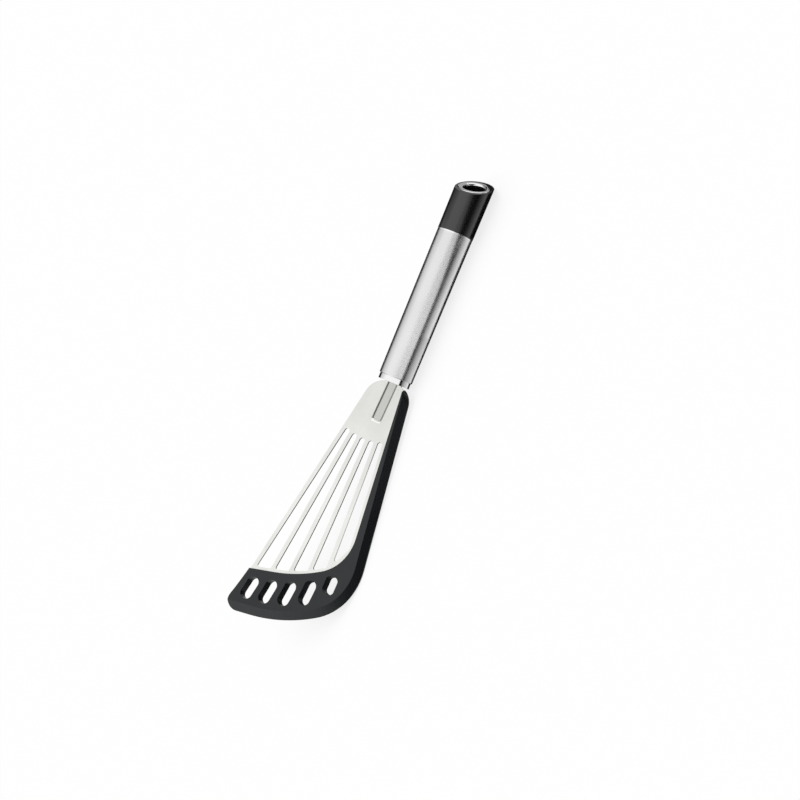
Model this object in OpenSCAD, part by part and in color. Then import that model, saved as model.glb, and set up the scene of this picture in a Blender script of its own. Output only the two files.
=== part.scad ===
// Slotted turner: a fanned steel blade with a soft edge on its front and one side,
// on a round tube handle with a slanted end cap and a hanging eye.
//
// Sizes are in millimetres and angles in degrees. The finished part lies on a table as
// the real one does: handle along +X with the cap at the +X end, food side up, and
// rolled on its round handle until the soft side edge, towards -Y, meets the table.
// The blade is drawn flat in its own frame first: s runs from the neck to the front,
// w towards the soft side edge and n out of the food side.

/* [Blade] */
// Thickness of the steel sheet
sheet_t = 1.2; // [0.8:0.1:2]
// Angle between the blade and the handle axis
blade_pitch = 4.5; // [0:0.5:15]
// Half the width of the shoulders, where the fan's sides start
shoulder_half_w = 15.5; // [14:0.5:20]
// Radius of the two shoulders
shoulder_r = 14; // [6:0.5:14]
// Angle of the bare side to the handle axis
bare_side_angle = 9.5; // [4:0.5:14]
// Distance from the neck at which the front starts to curve up
bend_start = 148; // [120:1:170]
// Radius of the front's upward curve
bend_r = 160; // [120:5:400]

/* [Slots] */
// Width of the bars between the slots
bar_w = 3.1; // [2:0.1:5]
// Number of slots
slot_count = 5; // [3:1:6]
// Distance from the neck to the first and last slot
slot_start = 41.3; // [36:0.1:60]
// How much further down the middle slot starts
slot_arch = 2; // [0:0.1:6]
// Width of the steel left between the slots and the soft edge
slot_rim = 2; // [1:0.1:4]
// Radius of the slots' upper corners
slot_top_r = 2; // [0.5:0.1:2.2]
// Radius of the slots' lower corners
slot_foot_r = 1.4; // [0.5:0.1:2]

/* [Stiffening groove] */
// Width of the groove at the food side
groove_w = 8; // [5:0.5:9]
// Distance from the neck to the groove's rounded end
groove_end = 29; // [20:0.5:34]
// Depth of the groove
groove_depth = 0.9; // [0.4:0.1:1.1]
// Width of each sloping wall
groove_wall_w = 1.4; // [0.5:0.1:2]

/* [Soft edge] */
// Thickness of the soft edge
edge_t = 4.4; // [3.2:0.1:6]
// Thickness left at the foot of its bevel
lip_t = 1; // [0.6:0.1:1.6]
// Angle of the soft side to the handle axis
soft_side_angle = 10.8; // [8:0.1:13]
// Distance from the neck to the corner of the soft side, before it is rounded
side_reach = 153.2; // [145:0.1:165]
// Angle of the slanted run after that corner to the handle axis
corner_slant = 57; // [50:1:64]
// Straight length of the slanted run, between its rounded ends
corner_run = 1.8; // [0.5:0.1:10]
// Angle of the front to the handle axis
front_slant = 80; // [76:1:86]
// Radius of the corner of the soft side
corner_r = 42; // [20:1:60]
// Radius of the front
front_r = 120; // [60:5:160]
// Radius of the corner at the bare side
tip_r = 8; // [4:0.5:10]
// Width of the bevel along the soft side
side_bevel_w = 4.8; // [3:0.1:5.4]
// Width of the bevel round the corner
corner_bevel_w = 5.5; // [3:0.1:7]
// Width of the bevel along the front
front_bevel_w = 6.2; // [3:0.1:8]
// How far the steel runs on inside the soft edge
bond_w = 3.5; // [2:0.1:5]
// Least width of soft edge outside the steel
cover_w = 2.6; // [2:0.1:4]

/* [Line between steel and soft edge] */
// Distance of the line from the axis at the neck
seam_start_w = 9.75; // [9:0.05:11]
// Angle of the line to the axis along the side
seam_side_angle = 8.3; // [6:0.1:9]
// How far the corner of the line lies short of the corner of the soft side
seam_reach = 25.3; // [21:0.1:34]
// Angle of the slanted run after that corner
seam_slant = 58; // [52:1:62]
// Straight length of the slanted run, between its rounded ends
seam_run = 1.5; // [0.5:0.1:8]
// Angle of the line along the front
seam_front_slant = 75; // [72:1:80]
// Radius of the corner of the line
seam_corner_r = 30; // [10:1:40]
// Radius of the line along the front
seam_front_r = 120; // [40:5:160]

/* [Holes in the soft edge] */
// Number of holes
hole_count = 5; // [3:1:5]
// Width of each hole
hole_w = 8; // [5:0.5:9]
// Distance between neighbouring holes
hole_pitch = 13.85; // [12:0.05:14.5]
// Distance of the first hole from the axis, on the bare side
hole_first_w = 32.3; // [30:0.1:35]
// How far past the corner of the soft side the holes' places are measured
hole_row_s = 1.8; // [-8:0.1:12]
// Lean of the first hole
hole_lean = 4.8; // [0:0.1:9]
// Change of lean from one hole to the next
hole_lean_step = 1.45; // [0:0.05:3]
// Distance of the holes from the steel
hole_back_gap = 6; // [4:0.1:8]
// Distance of the holes from the outer edge
hole_front_gap = 9.8; // [7:0.1:12]

/* [Handle] */
// Length of the neck collar that shows
collar_len = 4; // [2:0.5:8]
// Outer radius of the neck collar
collar_r = 11.35; // [10:0.05:11.8]
// Length of the handle tube
tube_len = 108; // [90:1:140]
// Outer radius of the tube at the neck
tube_neck_r = 12.1; // [11.9:0.1:14]
// Outer radius of the tube at the cap
tube_cap_r = 12.8; // [12:0.1:14]
// Wall of the tube
tube_wall = 0.8; // [0.5:0.1:1.2]
// Length of the collar's plug inside the tube
plug_len = 14; // [10:1:20]
// Length of the core behind the plug
core_len = 40; // [30:1:50]

/* [Tang] */
// Width of the tang
tang_w = 14; // [10:0.5:16]
// Length of the tang beyond the core's front face
tang_in_core = 34; // [26:1:36]
// Radius of the cross pins
pin_r = 2; // [1.5:0.1:2.5]
// Distance between the cross pins
pin_pitch = 18; // [12:1:20]
// Distance from the core's front face to the first pin
first_pin_x = 8; // [6:0.5:10]

/* [End cap] */
// Outer radius of the cap at its end
cap_r = 13.25; // [13:0.05:15]
// Outer radius of the cap at the tube
cap_seam_r = 12.95; // [12.8:0.05:13]
// Distance along the axis from the tube to the slanted face
cap_len = 34.8; // [30:0.1:45]
// Slant of the end face, from square to the axis
cap_slant = 30; // [15:1:32]
// Length of the cap's spigot inside the tube
spigot_len = 18; // [12:1:25]
// Bore that lightens the spigot
spigot_bore_r = 7; // [4:0.5:8]

/* [Hanging eye] */
// Outer radius of the metal ring
ring_r = 11.85; // [10.5:0.05:12]
// Radius of the eye through the ring
eye_r = 8.05; // [6:0.05:8.5]
// Thickness of the ring
ring_t = 2.4; // [1.6:0.1:3]
// How far the ring stands proud of the slanted face
ring_proud = 0.3; // [0:0.1:0.6]
// Width of the rounded rim on the ring's two edges
ring_edge_w = 0.6; // [0.2:0.1:0.8]
// Depth of the eye in the cap, below the slanted face
eye_depth = 7.5; // [6:0.1:8]
// Step from the ring's eye out to the wall of the hollow behind it
hollow_step = 0.5; // [0.2:0.1:1]
// Radius of the way out through the back of the cap
exit_r = 6.5; // [4:0.1:7]
// Distance along the axis from the slanted face back to the way out
exit_back = 10.3; // [9:0.1:12]

/* [Seals] */
// Section radius of the two sealing rings
seal_r = 0.9; // [0.6:0.1:1.1]
// Distance of each sealing ring from the end of its plug
seal_inset = 5; // [3:0.5:7]

/* [Fits] */
// Gap round the plug, the spigot and the core inside the tube
slip_gap = 0.1; // [0.05:0.05:0.2]
// Gap round the tang in its slots
tang_gap = 0.15; // [0.05:0.05:0.3]
// Gap round a pin and a sealing ring
close_gap = 0.03; // [0.02:0.01:0.05]

/* [Hidden] */
// Overrun that lets every cut clear the face it starts from
over = 1;
// Steps in each rounded corner of an outline
corner_steps = 14;
// Steps of the bevel along the straight of the front
front_steps = 6;
// Fragments in a circle
$fn = 96;

// Depth of the prisms that cut the blade out of its sheet
prism_n = 30;
// Largest share of a slot's width that each upper corner takes
slot_top_share = 0.46;

// Unit vector along v
function unit(v) = v / norm(v);

// Vector at an angle from the s axis, positive towards w
function heading(angle) = [cos(angle), sin(angle)];

// Vector v turned by an angle
function turned(v, angle) = [
    v.x * cos(angle) - v.y * sin(angle),
    v.x * sin(angle) + v.y * cos(angle)
];

// Point where the line through p along u meets the line through q along v
function meet(p, u, q, v) = p + u * (cross(q - p, v) / cross(u, v));

// Length that a rounded corner takes from each of its two sides
function corner_take(turn, r) = r * tan(turn / 2);

// Points of one rounded corner at p, between its neighbours
function corner_arc(before, p, after, r) =
    let (a = unit(before - p), b = unit(after - p))
    let (half = acos(a * b) / 2)
    let (middle = p + unit(a + b) * r / sin(half))
    let (from = p + a * r / tan(half) - middle)
    let (turn = sign(cross(a, b)) * (180 - 2 * half))
    [for (k = [0:corner_steps]) middle + turned(from, -turn * k / corner_steps)];

// Outline through the corner points, each rounded by its own radius
function rounded(points, radii) =
    let (count = len(points))
    [for (i = [0:count - 1])
        each radii[i] == 0
            ? [points[i]]
            : corner_arc(points[(i + count - 1) % count], points[i],
                         points[(i + 1) % count], radii[i])];

// Corner points of an outline whose edges each move inwards by their own distance.
// Edge i runs from point i to point i + 1, with the inside on its left.
function moved_in(points, distances) =
    let (count = len(points))
    [for (i = [0:count - 1])
        let (h = (i + count - 1) % count, j = (i + 1) % count)
        let (u = unit(points[i] - points[h]), v = unit(points[j] - points[i]))
        meet(points[i] + turned(u, 90) * distances[h], u,
             points[i] + turned(v, 90) * distances[i], v)];

// Distances s at which the line w = w0 + slope * s crosses an open line of points
function crossings(w0, slope, line) = [
    for (i = [0:len(line) - 2])
        let (p = line[i], q = line[i + 1])
        let (gp = p.y - w0 - slope * p.x, gq = q.y - w0 - slope * q.x)
        if (gp * gq <= 0 && gp != gq) p.x + (q.x - p.x) * gp / (gp - gq)
];

// Outer outline of blade and soft edge, anticlockwise with s to the right:
// bare shoulder, bare corner, front, corner of the soft side, soft shoulder.
bare_side = heading(-bare_side_angle);
soft_side = heading(soft_side_angle);
bare_shoulder = [0, -shoulder_half_w];
soft_shoulder = [0, shoulder_half_w];
side_corner = soft_shoulder + soft_side * side_reach / soft_side.x;
corner_len = corner_take(soft_side_angle + corner_slant, corner_r) + corner_run
    + corner_take(front_slant - corner_slant, front_r);
front_corner = side_corner + heading(-corner_slant) * corner_len;
bare_corner = meet(front_corner, heading(-front_slant), bare_shoulder, bare_side);
outer_points = [bare_shoulder, bare_corner, front_corner, side_corner, soft_shoulder];
outer_radii = [shoulder_r, tip_r, front_r, corner_r, shoulder_r];
outer_line = rounded(outer_points, outer_radii);

// Foot line of the top face, inside the bevel
bevel_widths = [0, front_bevel_w, corner_bevel_w, side_bevel_w, 0];
ridge_points = moved_in(outer_points, bevel_widths);
ridge_line = rounded(ridge_points, outer_radii - [0, front_bevel_w / 2, front_bevel_w,
                                                   corner_bevel_w, side_bevel_w]);

// Line between the bare steel and the soft edge, closed far beyond both
seam_neck = [0, seam_start_w];
seam_side = heading(seam_side_angle);
seam_corner = seam_neck + seam_side * (side_reach - seam_reach) / seam_side.x;
seam_len = corner_take(seam_side_angle + seam_slant, seam_corner_r) + seam_run
    + corner_take(seam_front_slant - seam_slant, seam_front_r);
seam_front = seam_corner + heading(-seam_slant) * seam_len;
seam_far = seam_front + heading(-seam_front_slant) * 2 * side_reach;
seam_back = seam_neck - seam_side * side_reach;
seam_points = [seam_back, seam_far, seam_front, seam_corner];
seam_radii = [0, 0, seam_front_r, seam_corner_r];

// Outline of the seam moved outwards by one distance
function seam_line(out) =
    rounded(moved_in(seam_points, [0, -out, -out, -out]),
            seam_radii + [0, 0, out, out]);

// Outer outline moved inwards by one distance along its soft edge
function inner_line(in) =
    rounded(moved_in(outer_points, [0, in, in, in, 0]),
            outer_radii - [0, in / 2, in, in, in]);

// Centre lines of the bars fan out evenly from side to side
bar_count = slot_count + 1;
bar_slopes = [-tan(bare_side_angle), tan(seam_side_angle)];
bar_starts = [-shoulder_half_w + bar_w / 2, seam_start_w - bar_w / 2];

// Place w of the middle of a bar at the distance s
function bar_start(i) = bar_starts[0] + (bar_starts[1] - bar_starts[0]) * i / slot_count;
function bar_slope(i) = bar_slopes[0] + (bar_slopes[1] - bar_slopes[0]) * i / slot_count;

// Corner points of one slot
function slot_points(i) =
    let (share = 2 * i / (slot_count - 1) - 1)
    let (top = slot_start + slot_arch * (1 - share * share))
    let (a0 = bar_start(i) + bar_w / 2, a1 = bar_slope(i))
    let (b0 = bar_start(i + 1) - bar_w / 2, b1 = bar_slope(i + 1))
    let (foot = seam_line(-slot_rim))
    let (sa = max(crossings(a0, a1, foot)), sb = max(crossings(b0, b1, foot)))
    [[top, a0 + a1 * top], [sa, a0 + a1 * sa], [sb, b0 + b1 * sb], [top, b0 + b1 * top]];

// Corner radii of one slot, the upper ones limited by its width there
function slot_radii(points) =
    let (top_r = min(slot_top_r, slot_top_share * norm(points[3] - points[0])))
    [top_r, slot_foot_r, slot_foot_r, top_r];

// Ends of one hole in the soft edge, as the centres of its round ends
function hole_ends(i) =
    let (slope = -tan(hole_lean - i * hole_lean_step))
    let (w0 = -hole_first_w + i * hole_pitch - slope * (side_reach + hole_row_s))
    let (back = max(crossings(w0, slope, seam_line(hole_back_gap))) + hole_w / 2)
    let (front = max(crossings(w0, slope, inner_line(hole_front_gap))) - hole_w / 2)
    [[back, w0 + slope * back], [front, w0 + slope * front]];

// Height of a bent surface that lies offset n from the middle of the sheet
function bent_n(s, n) =
    s <= bend_start ? n : bend_r - sqrt(pow(bend_r - n, 2) - pow(s - bend_start, 2));

// Places along the handle axis, measured from the neck
tube_start = collar_len;
tube_end = tube_start + tube_len;
face_x = tube_end + cap_len;
core_start = tube_start + plug_len;
tang_end = core_start + tang_in_core;
seal_neck_x = core_start - seal_inset;
seal_cap_x = tube_end - spigot_len + seal_inset;

// Inner radius of the tube at a distance along the axis
function bore_r(x) =
    tube_neck_r - tube_wall + (tube_cap_r - tube_neck_r) * (x - tube_start) / tube_len;

// Outer outline in the neck's frame, at one height n of the blade
function outline_at(n) = [
    for (p = outer_line)
        let (h = bent_n(p.x, n))
        [h * sin(blade_pitch) - p.x * cos(blade_pitch), -p.y,
         p.x * sin(blade_pitch) + h * cos(blade_pitch)]
];

// The part rests on the tube's neck end, on the cap and on the soft side edge, so the
// handle rises slightly towards the cap
rest_rise = atan((cap_r - tube_neck_r) / (face_x - tube_start));

// Depth of the table under the handle's axis
function table_depth(x) = tube_neck_r + (x - tube_start) * tan(rest_rise);

// Roll about the handle at which a place of the underside meets the table
function roll_at(q) = atan2(q.z, -q.y) + asin(table_depth(q.x) / norm([q.y, q.z]));

// Roll of the part at rest
foot_line = outline_at(-edge_t / 2);
lip_line = outline_at(lip_t - edge_t / 2);
rest_roll = min([for (q = foot_line) if (-q.y > cap_r) roll_at(q)]);

// Place q of the neck's frame, rolled and raised as the part rests
function rested(q) =
    let (z = q.y * sin(rest_roll) + q.z * cos(rest_roll))
    [q.x * cos(rest_rise) - z * sin(rest_rise),
     q.y * cos(rest_roll) - q.z * sin(rest_roll),
     q.x * sin(rest_rise) + z * cos(rest_rise)];

// Box round the part, for its origin at the middle of the bottom
low_x = min([for (q = foot_line) rested(q).x]);
high_x = face_x * cos(rest_rise) + cap_r * norm([
    tan(cap_slant) * cos(rest_rise) + cos(rest_roll) * sin(rest_rise),
    sin(rest_roll) * sin(rest_rise)
]);
low_y = min([for (q = lip_line) rested(q).y]);
high_y = max([for (q = foot_line) rested(q).y]);
low_z = tube_start * sin(rest_rise) - tube_neck_r * cos(rest_rise);
rest_shift = [-(low_x + high_x) / 2, -(low_y + high_y) / 2, -low_z];

// Moves a piece from the neck's frame to the part's frame
module placed() {
    translate(rest_shift) rotate([rest_roll, -rest_rise, 0]) children();
}

// Turns a piece from the blade's own frame to the neck's frame
module blade_frame() {
    rotate([0, blade_pitch, 0]) rotate([0, 0, 180]) children();
}

// Turns a lathed piece so that its axis lies along the handle
module along_handle(x = 0) {
    translate([x, 0, 0]) rotate([0, 90, 0]) children();
}

// Frame on the slanted face: +Z out of the face, origin where the axis meets it
module on_slant() {
    translate([face_x, 0, 0]) rotate([0, 90 - cap_slant, 0]) children();
}

// Cylinder along the handle from one distance to another
module bar_along(x0, x1, r0, r1) {
    along_handle(x0) cylinder(h = x1 - x0, r1 = r0, r2 = r1);
}

// Prism over an outline, right through the blade
module prism(outline) {
    translate([0, 0, -prism_n / 2]) linear_extrude(2 * prism_n) polygon(outline);
}

// Endless bent sheet of one thickness, from a starting distance s
module bent_sheet(t, start) {
    rotate([90, 0, 0]) linear_extrude(4 * side_reach, center = true) {
        translate([start, -t / 2]) square([bend_start - start, t]);
        intersection() {
            translate([bend_start, bend_r]) difference() {
                circle(bend_r + t / 2, $fn = 360);
                circle(bend_r - t / 2, $fn = 360);
            }
            translate([bend_start, -t]) square([bend_r / 2, bend_r / 2]);
        }
    }
}

// Steel of the fan without its openings
module steel_sheet() {
    intersection() {
        bent_sheet(sheet_t, 0);
        prism(seam_line(bond_w));
        prism(inner_line(cover_w));
    }
}

// Channel with sloping walls and a rounded end: foot_w and top_w are its half widths
// at the heights foot and top, and it runs from a starting distance to the groove's end
module channel(foot, foot_w, top, top_w, start) {
    end_s = groove_end - groove_w / 2;
    translate([end_s, 0, foot]) cylinder(h = top - foot, r1 = foot_w, r2 = top_w);
    translate([start, 0, foot]) rotate([90, 0, 90]) linear_extrude(end_s - start)
        polygon([[-foot_w, 0], [foot_w, 0], [top_w, top - foot], [-top_w, top - foot]]);
}

// Rib that the groove's pressing raises on the underside, with an even gap around it
module groove_rib(start, gap = 0) {
    floor_w = groove_w / 2 - groove_wall_w + sheet_t / 2 + gap;
    channel(-sheet_t / 2 - groove_depth - gap, floor_w, 0, floor_w + groove_wall_w, start);
}

// Groove in the food side
module groove_cut(start) {
    floor_w = groove_w / 2 - groove_wall_w;
    channel(sheet_t / 2 - groove_depth, floor_w, sheet_t / 2 + groove_depth,
            floor_w + 2 * groove_wall_w, start);
}

// Pressed steel fan with its tang
module blade() {
    color("gainsboro") placed() difference() {
        union() {
            blade_frame() {
                difference() {
                    steel_sheet();
                    for (i = [0:slot_count - 1]) {
                        points = slot_points(i);
                        prism(rounded(points, slot_radii(points)));
                    }
                }
                groove_rib(sheet_t);
            }
            translate([-sheet_t, -tang_w / 2, -sheet_t / 2])
                cube([tang_end + sheet_t, tang_w, sheet_t]);
        }
        blade_frame() groove_cut(2 * sheet_t);
        for (i = [0:1])
            translate([core_start + first_pin_x + i * pin_pitch, 0, -over])
                cylinder(h = 2 * over, r = pin_r + close_gap);
    }
}

// Sections that follow the bevel, each a cut from the ridge to the lip
function bevel_section(ridge, outer) =
    let (top = bent_n(ridge.x, edge_t / 2), low = bent_n(outer.x, -edge_t / 2) + lip_t)
    let (a = [ridge.x, ridge.y, top], b = [outer.x, outer.y, low])
    let (run = (a - b) * over / norm(a - b))
    let (p = a + run, q = b - run)
    [p, q, [q.x, q.y, prism_n], [p.x, p.y, prism_n]];

// Solid that takes the bevel off the soft edge. Along the front it runs straight out past
// the bare corner, so the bevel fades as that corner rounds away from it.
module bevel_cut() {
    first = 2 * (corner_steps + 1);
    last = len(outer_line) - 1;
    out_run = unit(bare_corner - front_corner) * over;
    ridge_start = ridge_points[1] + out_run;
    outer_start = bare_corner + out_run;
    front_sections = [for (k = [0:front_steps - 1])
        bevel_section(ridge_start + (ridge_line[first] - ridge_start) * k / front_steps,
                      outer_start + (outer_line[first] - outer_start) * k / front_steps)];
    sections = concat(front_sections, [for (i = [first:last])
        bevel_section(ridge_line[i], outer_line[i])]);
    count = len(sections);
    sides = [for (i = [0:count - 2]) for (k = [0:3]) let (j = (k + 1) % 4) each [
        [4 * i + k, 4 * i + j, 4 * i + 4 + j],
        [4 * i + k, 4 * i + 4 + j, 4 * i + 4 + k]
    ]];
    ends = [[0, 3, 2], [0, 2, 1], [4 * count - 4, 4 * count - 3, 4 * count - 2],
            [4 * count - 4, 4 * count - 2, 4 * count - 1]];
    polyhedron(points = [for (section = sections) each section],
               faces = concat(sides, ends));
}

// Soft edge moulded round the front and one side of the steel
module soft_edge() {
    color([0.2, 0.22, 0.23]) placed() blade_frame() difference() {
        intersection() {
            bent_sheet(edge_t, 0);
            prism(outer_line);
        }
        prism(seam_line(0));
        steel_sheet();
        for (i = [0:hole_count - 1]) {
            ends = hole_ends(i);
            prism_between(ends[0], ends[1], hole_w / 2);
        }
        bevel_cut();
    }
}

// Prism with round ends between two places
module prism_between(p, q, r) {
    lean = atan2(q.y - p.y, q.x - p.x);
    translate([p.x, p.y, -prism_n / 2]) rotate([0, 0, lean]) {
        cylinder(h = 2 * prism_n, r = r);
        translate([0, -r, 0]) cube([norm(q - p), 2 * r, 2 * prism_n]);
        translate([norm(q - p), 0, 0]) cylinder(h = 2 * prism_n, r = r);
    }
}

// Groove for a sealing ring, cut into a plug inside the tube
module seal_groove(x) {
    along_handle(x - seal_r - close_gap) difference() {
        cylinder(h = 2 * (seal_r + close_gap), r = bore_r(x) + over);
        cylinder(h = 2 * (seal_r + close_gap), r = seal_floor_r(x));
    }
}

// Radius of the floor of a sealing ring's groove
function seal_floor_r(x) = bore_r(x) - 2 * seal_r - 2 * close_gap;

// Sealing ring in its groove
module seal_ring(x) {
    along_handle(x) rotate_extrude()
        translate([seal_floor_r(x) + close_gap + seal_r, 0]) circle(seal_r, $fn = 32);
}

// Slot for the tang, right through a piece
module tang_slot(x0, x1) {
    half_w = tang_w / 2 + tang_gap;
    half_t = sheet_t / 2 + tang_gap;
    translate([x0, -half_w, -half_t]) cube([x1 - x0, 2 * half_w, 2 * half_t]);
}

// Polished collar with the plug that closes the tube
module neck_collar() {
    color("silver") placed() difference() {
        union() {
            bar_along(0, tube_start, collar_r, collar_r);
            bar_along(tube_start, core_start, bore_r(tube_start) - slip_gap,
                      bore_r(tube_start) - slip_gap);
        }
        tang_slot(-over, core_start + over);
        seal_groove(seal_neck_x);
    }
}

// Sealing ring between the collar's plug and the tube
module neck_seal() {
    color("dimgray") placed() seal_ring(seal_neck_x);
}

// Moulded core that holds the tang inside the tube
module handle_core() {
    color("darkslategray") placed() difference() {
        bar_along(core_start, core_start + core_len, bore_r(core_start) - slip_gap,
                  bore_r(core_start) - slip_gap);
        tang_slot(core_start - over, tang_end + tang_gap);
        for (i = [0:1]) core_pin(i, close_gap, over);
    }
}

// One cross pin, or with a gap and an overrun the hole for it
module core_pin(i, gap = 0, extra = 0) {
    reach = bore_r(core_start) - slip_gap - pin_r / 2 + extra;
    translate([core_start + first_pin_x + i * pin_pitch, 0, -reach])
        cylinder(h = 2 * reach, r = pin_r + gap);
}

// Two pins through the core and the tang
module core_pins() {
    color("silver") placed() for (i = [0:1]) core_pin(i);
}

// Handle tube, slightly wider at the cap
module handle_tube() {
    color("lightgray") placed() difference() {
        bar_along(tube_start, tube_end, tube_neck_r, tube_cap_r);
        bar_along(tube_start, tube_end, bore_r(tube_start), bore_r(tube_end));
        bar_along(tube_start - over, tube_start, bore_r(tube_start), bore_r(tube_start));
        bar_along(tube_end, tube_end + over, bore_r(tube_end), bore_r(tube_end));
    }
}

// Sealing ring between the cap's spigot and the tube
module cap_seal() {
    color("dimgray") placed() seal_ring(seal_cap_x);
}

// Moulded end cap with a slanted face and the way through for a hook
module end_cap() {
    spigot_start = tube_end - spigot_len;
    spigot_r = bore_r(spigot_start) - slip_gap;
    color([0.12, 0.12, 0.12]) placed() difference() {
        union() {
            bar_along(tube_end, face_x, cap_seam_r, cap_r);
            bar_along(face_x, face_x + cap_r, cap_r, cap_r);
            bar_along(spigot_start, tube_end, spigot_r, spigot_r);
        }
        bar_along(spigot_start - over, tube_end, spigot_bore_r, spigot_bore_r);
        seal_groove(seal_cap_x);
        on_slant() {
            translate([-2 * cap_r, -2 * cap_r, 0]) cube(4 * cap_r);
            translate([0, 0, ring_proud - ring_t])
                cylinder(h = 2 * ring_t, r = ring_r + close_gap);
            translate([0, 0, -eye_depth])
                cylinder(h = eye_depth + over, r = eye_r + hollow_step);
        }
        translate([face_x - exit_back, 0, -cap_r - over])
            cylinder(h = cap_r + over + exit_r / 2, r = exit_r);
    }
}

// Polished ring round the hanging eye
module hanging_ring() {
    low = ring_proud - ring_t;
    color("white") placed() on_slant() rotate_extrude()
        polygon([
            [eye_r, low], [ring_r, low], [ring_r, ring_proud - ring_edge_w],
            [ring_r - ring_edge_w, ring_proud], [eye_r + ring_edge_w, ring_proud],
            [eye_r, ring_proud - ring_edge_w]
        ]);
}

blade();
soft_edge();
neck_collar();
neck_seal();
handle_core();
core_pins();
handle_tube();
cap_seal();
end_cap();
hanging_ring();
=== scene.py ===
"""Looks of the slotted turner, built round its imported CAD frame.

Each sub-assembly is drawn in millimetres and degrees in the frame of the handle's neck, as
in the part's source: x runs along the handle to the cap and z out of the food side.
RestPose then lays the finished mesh in the part's own frame, in metres, where the turner
rests on the table on its round handle and its soft edge.
"""

import logging
import math
from collections.abc import Callable, Sequence
from dataclasses import dataclass
from enum import Enum

import bmesh
import bpy
from bmesh.types import BMEdge, BMesh, BMFace, BMVert
from bpy.types import Material, Node, NodeSocket, NodeTree, Object
from mathutils import Matrix, Vector


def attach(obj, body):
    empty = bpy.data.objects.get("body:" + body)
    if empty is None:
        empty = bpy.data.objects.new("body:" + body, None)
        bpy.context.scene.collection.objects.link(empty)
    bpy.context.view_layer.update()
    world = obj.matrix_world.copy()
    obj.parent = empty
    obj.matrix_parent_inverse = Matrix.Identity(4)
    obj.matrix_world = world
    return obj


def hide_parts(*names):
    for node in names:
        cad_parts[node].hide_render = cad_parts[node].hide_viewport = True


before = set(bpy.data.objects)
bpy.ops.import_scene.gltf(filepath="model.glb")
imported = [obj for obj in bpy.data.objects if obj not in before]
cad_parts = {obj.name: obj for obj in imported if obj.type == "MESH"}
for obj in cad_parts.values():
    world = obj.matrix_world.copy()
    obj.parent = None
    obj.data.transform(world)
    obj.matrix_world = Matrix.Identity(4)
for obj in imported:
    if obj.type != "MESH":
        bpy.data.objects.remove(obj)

Triple = tuple[float, float, float]

MM = 0.001
LATHE_STEPS = 128
# Millimetres within which corners are one, on a new shape and on the CAD's
WELD, CAD_WELD = 0.001, 0.002
# Millimetres within which a corner lies on a plane or circle, likewise
NEAR, CAD_NEAR = 0.01, 0.05
# Degrees of bend below which triangles of the CAD are one face
CAD_FLAT = 0.3
# Degrees of bend above which an edge is shaded sharp
SHADED_SHARP = 40.0
# How much a normal points up at the most on a wall, and at the least on a top
WALL_UP, TOP_UP = 0.3, 0.5
# Most values of a noise lie between these
NOISE_MIDDLE = (0.3, 0.7)
# A Mix node's colour sockets, by number because others have the same names
MIX_FIRST, MIX_SECOND, MIX_RESULT = 6, 7, 2
WHITE = "#FFFFFF"
LOG = logging.getLogger("turner")


class Slot(Enum):
    """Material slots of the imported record."""

    SHEET = "sheet_steel"
    SOFT = "soft_edge"
    POLISHED = "polished_steel"
    TUBE = "tube_steel"
    CAP = "cap_plastic"
    CORE = "core_plastic"
    SEAL = "seal_rubber"


@dataclass(frozen=True)
class RestPose:
    """How the turner lies: rolled about its handle, which rises towards the cap."""

    shift: Triple = (17.0481, 3.10482, 12.0674)
    roll: float = 26.935
    rise: float = 0.461406
    blade_pitch: float = 4.5

    def neck(self) -> Matrix:
        """Give the neck's frame in the part's frame.

        Returns:
            The matrix, in millimetres.
        """
        return (Matrix.Translation(self.shift)
                @ Matrix.Rotation(math.radians(-self.rise), 4, "Y")
                @ Matrix.Rotation(math.radians(self.roll), 4, "X"))

    def blade(self) -> Matrix:
        """Give the blade's frame in the part's: x to the front, y to the soft side."""
        return (self.neck() @ Matrix.Rotation(math.radians(self.blade_pitch), 4, "Y")
                @ Matrix.Rotation(math.pi, 4, "Z"))

    def placed(self) -> Matrix:
        """Give the neck's frame in the part's, from millimetres to metres."""
        return Matrix.Scale(MM, 4) @ self.neck()


REST = RestPose()


def linear(hex_colour: str) -> tuple[float, float, float, float]:
    """Turn an sRGB hex colour into the linear one that shaders take.

    Args:
        hex_colour: The colour as "#RRGGBB".

    Returns:
        Linear red, green and blue, and an alpha of 1.
    """
    parts = [int(hex_colour[i:i + 2], 16) / 255 for i in (1, 3, 5)]
    # The sRGB standard's own numbers
    return (*(p / 12.92 if p <= 0.04045 else ((p + 0.055) / 1.055) ** 2.4
              for p in parts), 1.0)


def add_node(tree: NodeTree, kind: str,
             links: dict[str | int, NodeSocket] | None = None,
             values: dict[str | int, object] | None = None,
             **settings: object) -> Node:
    """Add one node with its settings, values and links.

    Args:
        tree: Node tree that takes the node.
        kind: Blender's name of the node's type.
        links: Sockets that feed the node, by input name or number.
        values: Plain values of the other inputs, by name or number.
        **settings: Properties of the node itself.

    Returns:
        The new node.
    """
    node = tree.nodes.new(kind)
    for name, value in settings.items():
        setattr(node, name, value)
    for name, value in (values or {}).items():
        node.inputs[name].default_value = value
    for name, socket in (links or {}).items():
        tree.links.new(socket, node.inputs[name])
    return node


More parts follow.
